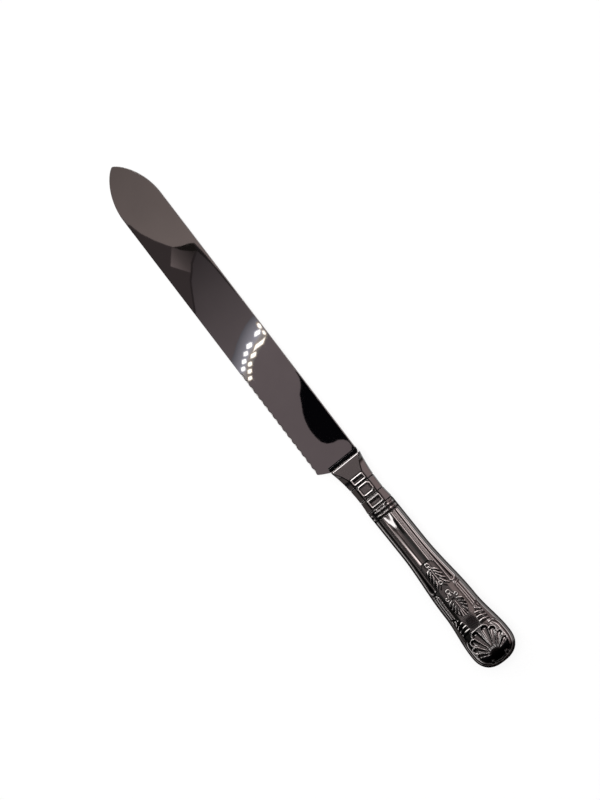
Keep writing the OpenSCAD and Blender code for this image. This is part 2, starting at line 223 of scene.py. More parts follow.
class Graph:
    """A node tree that one method adds nodes to."""

    def __init__(self, tree):
        self.tree = tree

    def add(self, kind, settings=None, sockets=None):
        node = self.tree.nodes.new(kind)
        for name, value in (settings or {}).items():
            setattr(node, name, value)
        for name, value in (sockets or {}).items():
            if isinstance(name, int):
                target = node.inputs[name]
            else:
                target = next(i for i in node.inputs if i.enabled and i.name == name)
            if isinstance(value, Socket):
                self.tree.links.new(value.socket, target)
            else:
                target.default_value = value
        outputs = [o for o in node.outputs if o.enabled]
        return Socket(self, outputs[0]) if outputs else node

    def vector(self, x, y, z):
        return self.add("ShaderNodeCombineXYZ", {}, {"X": x, "Y": y, "Z": z})


def shape_tree(name, sizes, drawings=()):
    """A new geometry tree with named inputs for its sizes, its drawings and its finish."""
    tree = bpy.data.node_groups.new(name, "GeometryNodeTree")
    for size, value in sizes.items():
        kind = "NodeSocketInt" if isinstance(value, int) else "NodeSocketFloat"
        item = tree.interface.new_socket(name=size, in_out="INPUT", socket_type=kind)
        item.default_value = value
    for drawn in drawings:
        tree.interface.new_socket(name=drawn, in_out="INPUT", socket_type="NodeSocketObject")
    tree.interface.new_socket(name="Finish", in_out="INPUT", socket_type="NodeSocketMaterial")
    tree.interface.new_socket(name="Mesh", in_out="OUTPUT", socket_type="NodeSocketGeometry")
    graph = Graph(tree)
    return graph, graph.add("NodeGroupInput")


def grid(graph, columns, rows):
    """A grid to be bent into shape, with its places along and across from 0 to 1."""
    sheet = graph.add(
        "GeometryNodeMeshGrid", {},
        {"Size X": 1.0, "Size Y": 1.0, "Vertices X": columns, "Vertices Y": rows},
    )
    x, y, _ = graph.add("GeometryNodeInputPosition").split()
    return sheet, x + 0.5, y + 0.5


def end_tree(graph, given, mesh):
    """Close the seams, turn millimetres into metres and give the finish."""
    joined = graph.add("GeometryNodeMergeByDistance", {}, {"Geometry": mesh, "Distance": MERGE})
    metres = graph.add("GeometryNodeTransform", {}, {"Geometry": joined, "Scale": (MM, MM, MM)})
    real = graph.add("GeometryNodeRealizeInstances", {}, {"Geometry": metres})
    done = graph.add("GeometryNodeSetMaterial", {}, {"Geometry": real, "Material": given["Finish"]})
    graph.add("NodeGroupOutput", {}, {"Mesh": done})


def grow(name, graph, values):
    """A plain mesh piece made by a geometry tree with these inputs."""
    piece = bpy.data.objects.new(name, bpy.data.meshes.new(name))
    bpy.context.scene.collection.objects.link(piece)
    modifier = piece.modifiers.new("shape", "NODES")
    modifier.node_group = graph.tree
    for item in graph.tree.interface.items_tree:
        if item.in_out == "INPUT":
            modifier[item.identifier] = values[item.name]
    depsgraph = bpy.context.evaluated_depsgraph_get()
    mesh = bpy.data.meshes.new_from_object(
        piece.evaluated_get(depsgraph), preserve_all_data_layers=True, depsgraph=depsgraph
    )
    piece.modifiers.clear()
    piece.data = mesh
    mesh.shade_smooth()
    mesh.set_sharp_from_angle(angle=SHARP)
    return piece


# Ornament of the handle: strokes [distance from the bolster, height from the axis, radius]
CODE = 0.05  # height at which a stroke is drawn, as a part of its radius, so that the tree can read it


def arc(centre, radius, start, end, steps, bead):
    """Points of a circular stroke; angle 0 points towards the bolster."""
    points = []
    for i in range(steps + 1):
        a = math.radians(start + (end - start) * i / steps)
        points.append((centre[0] - radius * math.cos(a), centre[1] + radius * math.sin(a), bead))
    return points


def drawing(name, strokes):
    """A curve object with every stroke, repeated on the other side unless both is False."""
    curve = bpy.data.curves.new(name, "CURVE")
    curve.dimensions = "3D"
    curve.resolution_u = 6
    for stroke in strokes:
        for side in (1, -1) if stroke.get("both", True) else (1,):
            spline = curve.splines.new("BEZIER")
            spline.bezier_points.add(len(stroke["points"]) - 1)
            spline.use_cyclic_u = stroke.get("closed", False)
            for knot, (s, y, r) in zip(spline.bezier_points, stroke["points"]):
                knot.co = (s, side * y, r * CODE)
                knot.handle_left_type = knot.handle_right_type = "VECTOR" if stroke.get("sharp") else "AUTO"
    drawn = bpy.data.objects.new(name, curve)
    bpy.context.scene.collection.objects.link(drawn)
    return drawn


def eased(u):
    """A number held between 0 and 1, with a smooth start and end."""
    u = max(0.0, min(1.0, u))
    return u * u * (3 - 2 * u)


def half_width(s, inset=0.0):
    """Half the handle's width at s from the bolster, as the tree has it."""
    h = HANDLE
    butt_at = h["Length"] - h["Butt round"]
    w = h["Neck width"]
    w += (h["Mouth width"] - h["Neck width"]) * max(0.0, 1 - s / h["Neck place"]) ** 2
    flare = (s - h["Neck place"]) / (h["Band place"] - h["Neck place"])
    w += (h["Grip width"] - h["Neck width"]) * max(0.0, min(1.0, flare)) ** 2
    widening = (s - h["Widening place"]) / (h["Shoulder place"] - h["Widening place"])
    w += (h["Shoulder width"] - h["Grip width"]) * eased(widening)
    swelling = (s - h["Shoulder place"]) / (butt_at - h["Shoulder place"])
    w += (h["Butt width"] - h["Shoulder width"]) * eased(swelling)
    end = max(0.0, min(1.0, (s - butt_at) / (h["Butt round"] - inset)))
    return (w / 2 - inset) * (1 - end ** CAP_POWER) ** (1 / CAP_POWER)


def panel_half(s):
    """Half the width of the neck's flat top at s from the bolster."""
    h = HANDLE
    narrow = h["Panel width"] / 2
    mouth = MOUTH_FLAT * half_width(s)
    return mouth + (narrow - mouth) * min(1.0, s / h["Panel place"])


def outer_thread(s):
    """Height of the grip's outer thread at s from the bolster."""
    return half_width(s) - 1.6


def inner_thread(s):
    """Height of the grip's inner thread, which moves out where the grip widens."""
    return 4.0 + 0.5 * eased((s - HANDLE["Widening place"]) / 22)


def frame_strokes():
    """Frames of the three neck panels, the middle one with cut corners."""
    strokes = []
    bead = 0.5
    for a, b, half, cut in ((8.3, 11.1, 3.1, 0.3), (12.95, 17.75, 3.05, 0.9), (20.6, 24.1, 3.1, 0.3)):
        outline = [
            (a + cut, half), (b - cut, half), (b, half - cut), (b, cut - half),
            (b - cut, -half), (a + cut, -half), (a, cut - half), (a, half - cut),
        ]
        points = [(*corner, bead) for corner in outline]
        strokes.append({"points": points, "closed": True, "sharp": True, "both": False})
    return strokes


def thread_strokes():
    """Bands, grip threads, dish edge, bars and rim threads."""
    strokes = []
    for s in (27.0, 29.1):
        reach = half_width(s)
        band = [(s, 0.0, 0.6), (s, 3.6, 0.6), (s, 4.6, 0.34), (s, reach, 0.2)]
        strokes.append({"points": band, "sharp": True})

    # Two threads along the grip, joined by a turn, and the fine threads and beads along the dish
    first, last = 31.2, 71.4
    outer = [(s, outer_thread(s), 0.5) for s in (first, 40, 50, 56, 61, 66, 69, last)]
    inner = [(s, inner_thread(s), 0.42) for s in (last, 66, 58, 50, first)]
    turn = (outer[-1][1] - inner[0][1]) / 2
    end = arc((last, inner[0][1] + turn), turn, 90, 270, 6, 0.46)
    strokes.append({"points": outer + end[1:-1] + inner})
    for y, stop in ((3.45, 60.0), (3.0, 59.2)):
        strokes.append({"points": [(first, y, 0.2), (stop, y, 0.2)]})
    for y, r in ((2.2, 0.62), (-2.6, 0.36)):
        strokes.append({"points": [(first, y, r), (HANDLE["Dish end"], y, r)], "both": False})

    # A curl, three bars and two short ends along the shoulder
    curl = ((73.9, 74, 1.5, 0.3), (74.4, 74, 2.9, 0.34), (75.2, 75, 3.5, 0.36))
    strokes.append({"points": [(s, half_width(beside) - inset, r) for s, beside, inset, r in curl]})
    bar_start, bar_end = 75.0, 86.2
    bar_bead = 0.36
    insets = (1.65, 2.65, 3.65)
    for inset, lag in zip(insets, (0.0, 0.2, 0.4)):
        start = bar_start + lag
        stations = [start + (bar_end - start) * i / 4 for i in range(4)]
        points = [(s, half_width(s) - inset, bar_bead) for s in stations]
        points.append((bar_end + 0.6 * (inset - insets[0]), half_width(bar_end) - inset, bar_bead))
        strokes.append({"points": points})
    for inset in (2.0, 3.0):
        near = (86.9 + 0.5 * inset, half_width(88) - inset, 0.3)
        far = (88.6 + 0.3 * inset, half_width(89) - inset, 0.2)
        strokes.append({"points": [near, far]})

    # Two threads round the butt's rim
    rim = [101, 104, 106.5, 109, 111.5, 113.3]
    for inset, r, start in ((2.3, 0.42, (98.6, 7.2)), (1.25, 0.28, (98.6, 8.8))):
        points = [(s, half_width(s, inset), r) for s in rim] + [(HANDLE["Length"] - inset, 0.0, r)]
        strokes.append({"points": [(*start, 0.15)] + points})
    return strokes


def leaf_strokes():
    """Husk, scrolls, palmette and fronds."""
    strokes = [{"points": [(62.6, 0, 0.3), (69.6, 0, 0.5)], "both": False}]
    husk = (
        ((62.6, 0.9), (63.6, 2.1), (64.6, 2.9)),
        ((63.9, 0.9), (65.6, 2.1), (67.0, 3.1)),
        ((65.6, 0.9), (67.9, 2.0), (69.4, 3.2)),
        ((68.6, 1.2), (70.4, 2.0), (72.2, 3.3)),
    )
    for root, middle, tip in husk:
        strokes.append({"points": [(*root, 0.36), (*middle, 0.78), (*tip, 0.56)]})
    scroll = arc((78.5, 2.5), 0.75, -60, 200, 6, 0.36)
    strokes.append({"points": [(76.9, 1.2, 0.28)] + scroll})
    palmette = (
        ((80.0, 1.0), (80.5, 2.4), (81.4, 3.7)),
        ((81.5, 1.2), (82.3, 2.5), (83.6, 3.7)),
        ((83.0, 1.2), (84.1, 2.4), (85.4, 3.3)),
        ((84.7, 1.1), (85.8, 1.9), (87.1, 2.4)),
        ((85.6, 0.6), (87.2, 1.0), (88.9, 1.2)),
    )
    for ridge in palmette:
        strokes.append({"points": [(*p, r) for p, r in zip(ridge, (0.24, 0.34, 0.42))]})
    strokes.append({"points": [(80.8, 0, 0.26), (86.0, 0, 0.28), (89.0, 0, 0.36)], "both": False})
    fronds = (
        ((90.7, 6.8), (89.1, 5.1)),
        ((92.1, 7.0), (90.8, 3.9)),
        ((94.0, 7.0), (93.0, 3.2)),
        ((95.8, 7.1), (95.2, 3.0)),
        ((98.3, 8.2), (98.0, 6.2)),
    )
    bow = 0.25
    for outer, inner in fronds:
        middle = ((outer[0] + inner[0]) / 2 - bow, (outer[1] + inner[1]) / 2)
        points = [(*outer, 0.4), (*middle, 0.5), (*inner, 0.5)]
        # The last frond is on the upper side only
        strokes.append({"points": points, "both": outer != fronds[-1][0]})
    return strokes


def boss_strokes():
    """Bud, knot and scroll eyes, as rings."""
    rings = ((60.4, 0.9, 0.55), (62.1, 0.65, 0.5), (70.3, 0.8, 0.45), (75.8, 0.95, 0.45), (77.6, 0.3, 0.35))
    strokes = [
        {"points": arc((s, 0.0), radius, 0, 300, 5, r), "closed": True, "both": False}
        for s, radius, r in rings
    ]
    strokes.append({"points": arc((113.9, 4.0), 0.85, 0, 300, 5, 0.45), "closed": True})
    return strokes


# The shell: its hinge, and the angle, reach and spread of the flutes on each side
HINGE = 111.3
FLUTES = ((11.5, 14.0, 0.122), (28, 12.4, 0.118), (47, 10.5, 0.108), (66, 8.7, 0.1))


def flute_point(angle, distance):
    """The place at this angle and distance from the shell's hinge."""
    a = math.radians(angle)
    return HINGE - distance * math.cos(a), distance * math.sin(a)


def flute_strokes():
    """Hollow flutes of the shell, widening from its hinge."""
    strokes = []
    for angle, reach, spread in FLUTES:
        half = reach * spread
        stations = (0.25, 0.6, 1.0)
        points = [(*flute_point(angle, u * (reach - half)), half * (0.2 + 0.8 * u)) for u in stations]
        strokes.append({"points": points})
    return strokes


def pocket_and_shade_strokes():
    """Dark pockets, partly patina and partly painted shade, in the shell, the neck panels, the dish's end and
    the leaves, and between the threads.
    """
    strokes = []
    for angle, reach, spread in FLUTES:
        half = reach * spread
        tip = flute_point(angle, reach - half)
        strokes.append({"points": arc(tip, half * 0.72, angle - 80, angle + 80, 4, half * 0.42)})
    bars = ((9.3, -2.2, 2.2, 0.5), (21.6, -2.2, 2.2, 0.65), (HANDLE["Dish end"], -2.4, 2.0, 0.4))
    for s, low, high, r in bars:
        strokes.append({"points": [(s, low, r), (s, high, r)], "sharp": True, "both": False})
    petals = (
        ((80.9, 1.35), (82.5, 3.5)), ((82.2, 1.35), (84.5, 3.4)), ((83.8, 1.3), (86.2, 2.8)),
        ((85.5, 1.1), (87.9, 1.75)), ((79.3, 0.1), (79.4, 0.3)),
    )
    husk = (
        ((63.4, 1.1), (65.7, 3.0)), ((65.0, 1.1), (68.2, 3.1)), ((67.4, 1.1), (70.8, 3.2)),
        ((71.4, 0.2), (73.0, 1.8)),
    )
    fronds = (
        ((90.0, 4.6), (91.3, 7.2)), ((92.0, 3.8), (93.1, 7.3)), ((94.1, 3.3), (94.9, 7.4)),
        ((96.1, 3.2), (96.6, 7.4)),
    )
    for gaps, root_radius, tip_radius in ((petals, 0.25, 0.66), (husk, 0.2, 0.42), (fronds, 0.46, 0.44)):
        for root, tip in gaps:
            strokes.append({"points": [(*root, root_radius), (*tip, tip_radius)]})
    slot = []
    for s in (31.4, 40, 50, 56, 61, 66, 70.8):
        bead = 0.24 + 0.22 * eased((s - HANDLE["Widening place"]) / 20)
        slot.append((s, (outer_thread(s) + inner_thread(s)) / 2, bead))
    strokes.append({"points": slot})
    ridge = [(s, panel_half(s) + 0.05, 0.2 + 0.14 * eased(s / 8)) for s in (1, 2, 3, 4, 5, 6, 7, 8.1, 25)]
    strokes.append({"points": ridge, "sharp": True})
    return strokes


def rim_strokes():
    """The shell's scalloped rim."""
    bead, outside, turn, first_turn = 0.45, 0.28, 62, 25
    rim = [(97.15, 0.0, 0.42)]
    for angle, reach, spread in FLUTES:
        half = reach * spread
        back = first_turn if angle == FLUTES[0][0] else turn
        rim += arc(flute_point(angle, reach - half), half + outside, angle - back, angle + turn, 4, bead)
    return [{"points": rim}]


def shell_strokes():
    """The shell's double middle ridge and the ridges between its flutes."""
    strokes = [{"points": [(*flute_point(3, 3.6), 0.1), (*flute_point(3.4, 13.0), 0.3)]}]
    for (a, near, _), (b, far, _) in zip(FLUTES, FLUTES[1:]):
        angle, reach = (a + b) / 2, (near + far) / 2 - 1.8
        strokes.append({"points": [(*flute_point(angle, 2.8), 0.1), (*flute_point(angle, reach), 0.38)]})
    return strokes


def groove_strokes():
    """Cross grooves of the neck and the grooves beside the bands."""
    strokes = []
    for s, r in ((12.05, 0.36), (19.2, 0.36), (25.1, 0.36), (28.05, 0.4), (30.2, 0.4)):
        reach = half_width(s)
        strokes.append({"points": [(s, -reach, r), (s, reach, r)], "sharp": True, "both": False})
    return strokes


def facets(q, flat):
    """A faceted half section at q across: its shares of width and thickness, and the sides passed."""
    k = 3 * (1 - abs(q)).part()
    wall = (k - 1).part()
    top = (k - 2).part()
    y = 1 - (1 - flat) * wall - flat * top
    z = NECK_SIDE * k.part() + (1 - NECK_SIDE) * wall
    return y, z, k


def shell_outline(given, s):
    """Width and thickness of the handle at s from the bolster, and the share of both at the rounded butt."""
    neck = given["Neck place"]
    band = given["Band place"]
    shoulder = given["Shoulder place"]
    widening = given["Widening place"]
    butt_at = given["Length"] - given["Butt round"]
    flare = (1 - s / neck).part()
    spread = s.ramp(neck, band)
    width = given["Neck width"] + (given["Mouth width"] - given["Neck width"]) * flare * flare
    width = width + (given["Grip width"] - given["Neck width"]) * spread * spread
    swell = ((s - widening) / (shoulder - widening)).eased()
    width = width + (given["Shoulder width"] - given["Grip width"]) * swell
    swell = ((s - shoulder) / (butt_at - shoulder)).eased()
    width = width + (given["Butt width"] - given["Shoulder width"]) * swell
    neck_rise = (given["Neck thickness"] - given["Mouth thickness"]) * (s / neck).eased()
    grip_rise = (given["Grip thickness"] - given["Neck thickness"]) * spread.eased()
    butt_rise = (given["Butt thickness"] - given["Grip thickness"]) * ((s - band) / (butt_at - band)).eased()
    rolled = 2 * given["Roll slope"] * (given["Rolled edge"] - s).most(0)
    thickness = given["Mouth thickness"] + neck_rise + grip_rise + butt_rise - rolled
    cap = (1 - s.ramp(butt_at, given["Length"]) ** CAP_POWER).most(0) ** (1 / CAP_POWER)
    return width, thickness, cap


def shell_section(given, s, q, width):
    """Shares of half the width and thickness at q across: faceted on the neck, rounded from the bands on."""
    narrow = given["Panel width"] / width
    flat = MOUTH_FLAT + (narrow - MOUTH_FLAT) * (s / given["Panel place"]).part()
    facet_y, facet_z, k = facets(q, flat)
    ridge = (1 - abs(k - 2) / RIDGE_ROUND).most(0)
    facet_z = facet_z - ridge * ridge * ((1 - NECK_SIDE) * RIDGE_ROUND / 4)
    round_y = (abs(q).part() * (math.pi / 2)).sine()
    round_z = (1 - round_y ** SECTION_POWER).most(0) ** (1 / SECTION_POWER)
    on_neck = (given["Band place"] - s).part()
    return round_y + (facet_y - round_y) * on_neck, round_z + (facet_z - round_z) * on_neck


def shell_skin(graph, given):
    """Half a handle without its relief, bent from a grid."""
    sheet, along, across = grid(graph, given["Columns"], given["Rows"])

    # The first and last columns and the outer rows close the ends and the seam
    lid_u = 1 / (given["Columns"] - 1)
    lid_v = 1 / (given["Rows"] - 1)
    u = (along - lid_u) / (1 - 2 * lid_u)
    q = (across - 0.5) / (0.5 - lid_v)
    open_skin = (0.5 + lid_u / 2 - abs(u - 0.5)).above(0) * (1 + lid_v - abs(q)).above(0)

    # Distance from the bolster: plain length, worked length and rounded butt
    plain_u = given["Plain share"]
    worked_u = given["Worked share"]
    s = given["First"] + given["Plain length"] * (u / plain_u).part()
    s = s + given["Worked length"] * u.ramp(plain_u, worked_u)
    s = s + given["Round length"] * (u.ramp(worked_u, 1) * (math.pi / 2)).sine()

    width, thickness, cap = shell_outline(given, s)
    wide, tall = shell_section(given, s, q, width)
    y = wide * q.sign() * width / 2 * cap * open_skin
    z = given["Seam"] / 2 + tall * thickness / 2 * cap * open_skin
    place = graph.vector(s - given["Length"] / 2, y, z)
    return graph.add("GeometryNodeSetPosition", {}, {"Geometry": sheet, "Position": place})


def nearest(graph, drawn, plan):
    """The nearest stroke of a drawing: its radius, how far off it is, and its rounded height from 0 to 1."""
    curves = graph.add("GeometryNodeObjectInfo", {"transform_space": "ORIGINAL"}, {"Object": drawn})
    wire = graph.add("GeometryNodeCurveToMesh", {}, {"Curve": curves["Geometry"]})
    found = graph.add(
        "GeometryNodeProximity", {"target_element": "EDGES"},
        {"Geometry": wire, "Sample Position": plan},
    )
    _, _, height = found["Position"].split()
    radius = height / CODE
    part = (found["Distance"] / radius).part()
    return radius, found["Distance"], 1 - part * part


def raised_strokes(graph, given, plan, y, ease):
    """The raised strokes: their height, their crests, their shine, a lighter colour that is partly polish and
    partly painted highlight, and the corners beside them.
    """
    # The lower threads stand steeper, and so does the shell's rim away from its middle
    thread_rise = 0.18 + 0.16 * y.ramp(-4.6, -5.0)
    rim_rise = 0.4 + 0.2 * abs(y).ramp(2.4, 3.0)
    thread_shine = 2.4
    height = 0.0
    crest = 0.0
    shine = 0.0
    corner = 0.0
    for name, rise, spill, bright in (
        ("Threads", thread_rise, 0.8, None),
        ("Leaves", 0.42, 0.3, 1.5),
        ("Bosses", 0.45, 0.3, 1.5),
        ("Rim", rim_rise, 0.5, 1.5),
        ("Shell", 0.4 * ease, 0.5, 1.1 * ease),
    ):
        radius, distance, bell = nearest(graph, given[name], plan)
        if bright is None:
            bright = radius * thread_shine
        height = (radius * rise * bell * bell).most(height)
        crest = bell.most(crest)
        shine = (bell * bright).most(shine)
        corner = (1 - ((distance - radius) / spill).part()).most(corner)

    # The panel frames are low gables with even flanks
    frame_rise, frame_spill, frame_shine = 0.45, 0.8, 1.5
    radius, distance, bell = nearest(graph, given["Frames"], plan)
    height = (radius * (1 - (distance / radius).part()) * frame_rise).most(height)
    crest = bell.most(crest)
    shine = (bell * frame_shine).most(shine)
    corner = (1 - ((distance - radius) / frame_spill).part()).most(corner)
    return height, crest, shine, corner


def dish_trough(given, s, y):
    """A trough, scooped out towards the neck: its depth, its opening and the height from its middle."""
    lead = ((s - given["Dish start"]) / given["Dish lead"]).part()
    scoop = 1 - (1 - lead) * (1 - lead)
    from_middle = y - given["Dish middle"]
    side = (abs(from_middle) / (given["Dish width"] / 2)).part()
    in_length = (s - given["Dish start"]).above(0) * (given["Dish end"] - s).above(0)
    depth = (1 - side * side) * scoop * in_length * given["Dish depth"]
    return depth, (1 - side).above(0) * in_length, from_middle


def marked(graph, mesh, name, value):
    """The mesh with a value kept at its points for its finish."""
    return graph.add(
        "GeometryNodeStoreNamedAttribute", {"data_type": "FLOAT", "domain": "POINT"},
        {"Geometry": mesh, "Name": name, "Value": value},
    )


def handle_graph(drawings):
    """Half a handle with its relief along its normals, marked where its plate is dark, from patina and
    painted shade, or light, from polish and painted highlights.
    """
    graph, given = shape_tree("handle_shell", {**HANDLE, **NECK}, list(drawings))
    skin = shell_skin(graph, given)

    # Relief, read in plan; near the hinge the shell's ridges and flutes sink away
    x, y, z = graph.add("GeometryNodeInputPosition").split()
    s = x + given["Length"] / 2
    plan = graph.vector(s, y, 0.0)
    from_hinge = ((s - HINGE) ** 2 + y * y) ** 0.5
    ease = from_hinge.ramp(2.0, 6.0)
    raised, crest, shine, corner = raised_strokes(graph, given, plan, y, ease)
    radius, _, bowl = nearest(graph, given["Grooves"], plan)
    groove = bowl * radius
    flute_depth = 0.3
    radius, _, bowl = nearest(graph, given["Flutes"], plan)
    flute = bowl * radius * flute_depth * ease
    # Painted highlight: the flutes are lighter in colour, more so on the upper side
    shine = ((0.3 + 0.5 * y.ramp(3.0, 5.0)) * bowl).most(shine)
    # Pockets darken the plate as patina and painted shade, and dent nothing
    _, _, bowl = nearest(graph, given["Pockets and shade"], plan)
    pocket_shade = (1.7 * bowl).part()
    trough, open_dish, from_middle = dish_trough(given, s, y)
    seam_fade = z.ramp(0.4, 1.0)
    height = (raised - (groove + flute + trough)) * seam_fade
    normal = graph.add("GeometryNodeInputNormal")
    offset = graph.add("ShaderNodeVectorMath", {"operation": "SCALE"}, {"Vector": normal, "Scale": height})

    # Dark plate in the corners beside the strokes and in the hollows, partly patina and partly painted shade,
    # and painted shade on the steep sides
    _, lean, level = normal.split()
    upper = lean.above(0) * (s - given["Band place"]).above(0)
    patina = corner * (1 - 1.8 * crest).part() * (1 - open_dish)
    patina = patina.most(groove * 2.5).most(pocket_shade)
    # Painted shade: the steep sides are darker in colour, and the upper side from the bands on only where it
    # is steeper
    patina = patina.most(level.ramp(0.8, 0.74) * 0.88 * (1 - upper) * (1 - 0.6 * crest))
    patina = patina.most(level.ramp(0.66, 0.58) * 0.7 * upper)

    # Dark grounds: the field between the fronds, round the hinge and along the shell's middle; the butt's end
    # beyond the hinge is painted shade
    field_place, field_reach, field_side = 93.6, 4.2, 3.4
    shell_start = 97.6
    field = (1 - ((s - field_place) / field_reach) ** 2).most(0) * (1 - (y / field_side) ** 2).most(0)
    tarnish_and_shade = s.ramp(110.0, 112.2).most(from_hinge.ramp(4.8, 2.2)) * (1 - 0.15 * crest)
    valley = abs(y).ramp(1.1, 0.7) * (s - shell_start).above(0) * (0.5 - 0.5 * crest)
    patina = patina.most((1.4 * field).least(0.85)).most(tarnish_and_shade).most(valley)

    # The dish's lower wall has painted shade near its floor, and a painted highlight, a bright strip that
    # widens along the dish
    below = (-from_middle).most(0)
    dish_floor = 0.7
    bright_from = 2.2 - 0.9 * s.ramp(40.0, given["Dish end"])
    lower_wall = open_dish * (below - dish_floor).above(0)
    painted_shade_wall = ((bright_from - below) / 0.25).part() * lower_wall * s.ramp(36.0, 38.0) * 0.7
    painted_highlight_wall = ((below - bright_from) / 0.2).part() * lower_wall
    neck_polish = 0.45 * (given["Band place"] - s).above(0)
    # Lighter colour on the crests, in the flutes, on the dish's wall and on the neck: partly polish, partly
    # painted highlight
    polish_and_painted_sheen = shine.part().most(painted_highlight_wall).most(neck_polish)

    finished = marked(graph, marked(graph, skin, "patina", patina.most(painted_shade_wall)), "crest", polish_and_painted_sheen)
    shaped = graph.add("GeometryNodeSetPosition", {}, {"Geometry": finished, "Offset": offset})
    end_tree(graph, given, shaped)
    return graph


def blade_graph():
    """The blade as a closed loop round its section, from the bolster to the point."""
    columns, rows = 601, 97
    graph, given = shape_tree("blade", BLADE)
    sheet, along, across = grid(graph, columns, rows)

    # Distance from the bolster: close steps over the scallops and at the point
    fine, fine_u = 66.0, 0.62
    rest = (along - fine_u) / (1 - fine_u)
    near = (along / fine_u).part() * fine
    tail = 1 - (1 - rest.part()) ** 2
    d = near + tail * (given["Length"] - fine)

    # Outline
    point_power, heel_power = 0.75, 1.2
    half = given["Width"] / 2
    middle = given["Spine height"] - half
    to_point = ((given["Length"] - d) / given["Point length"]).part()
    point = (1 - (1 - to_point) ** 2).most(0) ** point_power
    heel = 1 - (d / given["Heel place"]).part()
    spine = middle + half * point
    edge = middle - half * point + heel ** heel_power * (given["Width"] - 2 * given["Spine height"])

    # Scallops along the edge near the bolster
    step = (d - given["Scallop start"]) / given["Scallop pitch"] + 0.5
    inside = step.above(0) * (given["Scallop count"] - step).above(0)
    place = step.math("FRACT", step) - 0.5
    reach = place * given["Scallop pitch"] / (given["Scallop width"] / 2)
    hollow = (1 - reach * reach) * given["Scallop depth"]
    notch = hollow - given["Edge thickness"] / given["Scallop slope"]
    edge = edge + notch.most(0) * inside

    # Section: front from the edge to the spine, then the back from the spine to the edge
    spine_round, spine_left = 0.15, 0.45
    face = 1 - abs(across * 2 - 1)
    side = (0.5 - across).sign()
    c = (face * (math.pi / 2)).sine() ** 2
    y = edge + (spine - edge) * c
    lost = given["Taper"] / 2 * d / given["Length"]
    half_edge = given["Edge thickness"] / 2
    half_spine = given["Spine thickness"] / 2
    level = (y - middle + half) / given["Width"]
    thick = half_edge + (half_spine - half_edge) * level - lost
    from_spine = ((spine - y) / spine_round).part()
    corner = (1 - (1 - from_spine) ** 2).most(0) ** 0.5
    thick = thick * (spine_left + (1 - spine_left) * corner)
    cut = (y - middle + half - hollow) * given["Scallop slope"] + half_edge - lost
    front = thick.least(cut.most(-thick))
    front = thick + (front - thick) * inside
    z = -thick + (front + thick) * side.above(0)
    turned = graph.add(
        "ShaderNodeVectorRotate", {"rotation_type": "Z_AXIS"},
        {
            "Vector": graph.vector(given["Mouth place"] - d, y, z),
            "Center": graph.vector(given["Mouth place"], 0.0, 0.0),
            "Angle": given["Set angle"],
        },
    )
    ground = marked(graph, sheet, "ground", 1 - from_spine)
    shaped = graph.add("GeometryNodeSetPosition", {}, {"Geometry": ground, "Position": turned})
    end_tree(graph, given, shaped)
    return graph


def bolster_graph():
    """The bolster: a rim round the mouth, hollowed down to the blade on both sides."""
    columns, rows = 61, 193
    graph, given = shape_tree("bolster", BOLSTER)
    sheet, along, across = grid(graph, columns, rows)
    lid = 1 / (columns - 1)
    u = (along - lid) / (1 - 2 * lid)
    open_skin = (0.5 + lid / 2 - abs(u - 0.5)).above(0)
    d = u.part() * (given["Rim"] + given["Hollow"])

    # The mouth's faceted outline, front and back
    closing = 0.05
    q = abs(4 * across - 2) - 1
    side = (0.5 - across).sign()
    wide, tall, k = facets(q, MOUTH_FLAT)
    y = wide * q.sign() * given["Width"] / 2
    ring = given["Seam"] / 2 + tall * given["Thickness"] / 2
    ring = ring * (k / closing).part()

    # From the rim the hollow runs down to the blade's side
    straight = 0.25
    hollow = given["Hollow"]
    into = ((given["Rim"] + hollow - d).least(hollow) / hollow).part()
    rise = given["Seam"] / 2 + given["Thickness"] / 2 - given["Spine level"]
    level = given["Spine level"] - (given["Spine height"] - y) * given["Side slope"]
    level = level + rise * (straight * into + (1 - straight) * into ** given["Hollow power"])
    on_rim = (given["Rim"] - d).above(0)
    z = ring.least(level + on_rim * given["Thickness"]) * side
    shaped = graph.add(
        "GeometryNodeSetPosition", {},
        {
            "Geometry": sheet,
            "Position": graph.vector(given["Mouth place"] - d, y * open_skin, z * open_skin),
        },
    )
    end_tree(graph, given, shaped)
    return graph


def new_finish(name):
    """An empty material and the graph of its nodes."""
    finish = bpy.data.materials.new(name)
    finish.use_nodes = True
    finish.node_tree.nodes.clear()
    return finish, Graph(finish.node_tree)


def grain(graph, scale):
    """Noise with its own scale along each axis, in marks per metre."""
    place = graph.add("ShaderNodeTexCoord")["Object"]
    mapped = graph.add("ShaderNodeMapping", {}, {"Vector": place, "Scale": scale})
    return graph.add("ShaderNodeTexNoise", {}, {"Vector": mapped, "Scale": 1.0, "Detail": 3.0})["Fac"]


def kept_mark(graph, name):
    """A value kept at the points of a mesh."""
    return graph.add("ShaderNodeAttribute", {"attribute_name": name})["Fac"]


def tint(graph, amount, low, high):
    """A mix of two colours, each of them a triple or a socket."""
    low, high = (c if isinstance(c, Socket) else (*c, 1.0) for c in (low, high))
    return graph.add("ShaderNodeMix", {"data_type": "RGBA"}, {"Factor": amount, "A": low, "B": high})


def coat(graph, colour, roughness, bump, depth=0.15, metallic=1.0, grazing=1.0):
    """The shader of a finish, with the depth of its bump and its shine at grazing angles as shares."""
    relief = graph.add("ShaderNodeBump", {}, {"Height": bump, "Strength": depth, "Distance": 0.02 * MM})
    shader = graph.add(
        "ShaderNodeBsdfPrincipled", {},
        {
            "Base Color": colour, "Roughness": roughness, "Metallic": metallic, "Normal": relief,
            "Specular Tint": (grazing, grazing, grazing, 1.0),
        },
    )
    graph.add("ShaderNodeOutputMaterial", {}, {"Surface": shader})


